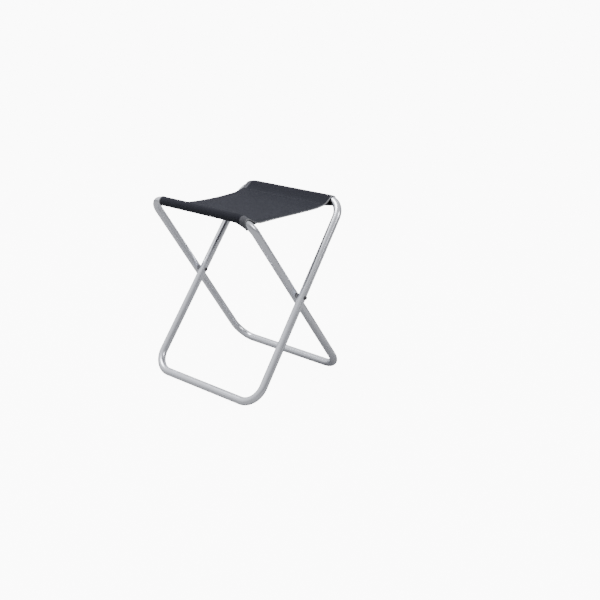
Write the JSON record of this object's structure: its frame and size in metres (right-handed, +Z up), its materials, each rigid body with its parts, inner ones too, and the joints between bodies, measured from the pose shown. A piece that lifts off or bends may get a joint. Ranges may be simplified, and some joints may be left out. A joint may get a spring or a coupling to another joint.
{
  "type": "folding camp stool",
  "caption": "Folding camp stool: crossed round-cornered metal tube loops that pivot on side rivets, with a dark woven sling seat sleeved over the top bars.",
  "frame": {"origin": "on the floor, under the middle of the seat", "axes": "+Z up, X along the bars, +Y from the front bar to the rear bar"},
  "size_m": [0.4512, 0.387, 0.5066],
  "materials": {
    "tube": "satin anodised",
    "splice": "mill finish",
    "steel": "zinc plated",
    "plastic": "moulded",
    "spacer": "moulded",
    "cloth": "plain weave",
    "hem": "cut edge folded under and stitched"
  },
  "bodies": {
    "front_frame": {"front_loop_tube": "tube", "front_loop_splice": "splice", "front_splice_pin_left": "steel", "front_splice_pin_right": "steel", "seat_sleeve_front": "cloth", "pivot_rivet_left": "steel", "pivot_rivet_right": "steel", "pivot_spacer_left": "spacer", "pivot_spacer_right": "spacer", "pivot_cap_front_left": "plastic", "pivot_cap_front_right": "plastic"},
    "rear_frame": {"rear_loop_tube": "tube", "rear_loop_splice": "splice", "rear_splice_pin_left": "steel", "rear_splice_pin_right": "steel", "seat_sleeve_rear": "cloth", "pivot_cap_rear_left": "plastic", "pivot_cap_rear_right": "plastic"},
    "seat_front": {"seat_panel_front": "cloth", "seat_hem_front_left": "hem", "seat_hem_front_right": "hem", "seat_middle": "cloth"},
    "seat_rear": {"seat_panel_rear": "cloth", "seat_hem_rear_left": "hem", "seat_hem_rear_right": "hem"}
  },
  "joints": [
    {"name": "fold", "type": "hinge", "parent": "front_frame", "child": "rear_frame", "pos_m": [0, 0, 0.26518], "axis": [1, 0, 0], "range_deg": [0, 65]},
    {"name": "seat_front_drop", "type": "hinge", "parent": "front_frame", "child": "seat_front", "pos_m": [0, -0.16456, 0.49419], "axis": [-1, 0, 0], "range_deg": [0, 46.73], "deforming": ["seat_middle"]},
    {"name": "seat_rear_drop", "type": "hinge", "parent": "rear_frame", "child": "seat_rear", "pos_m": [0, 0.16456, 0.49419], "axis": [1, 0, 0], "range_deg": [0, 46.73]}
  ],
  "couplings": [
    {"joint": "seat_front_drop", "follows": "fold", "ratio": 0.7188},
    {"joint": "seat_rear_drop", "follows": "fold", "ratio": 0.7188}
  ]
}
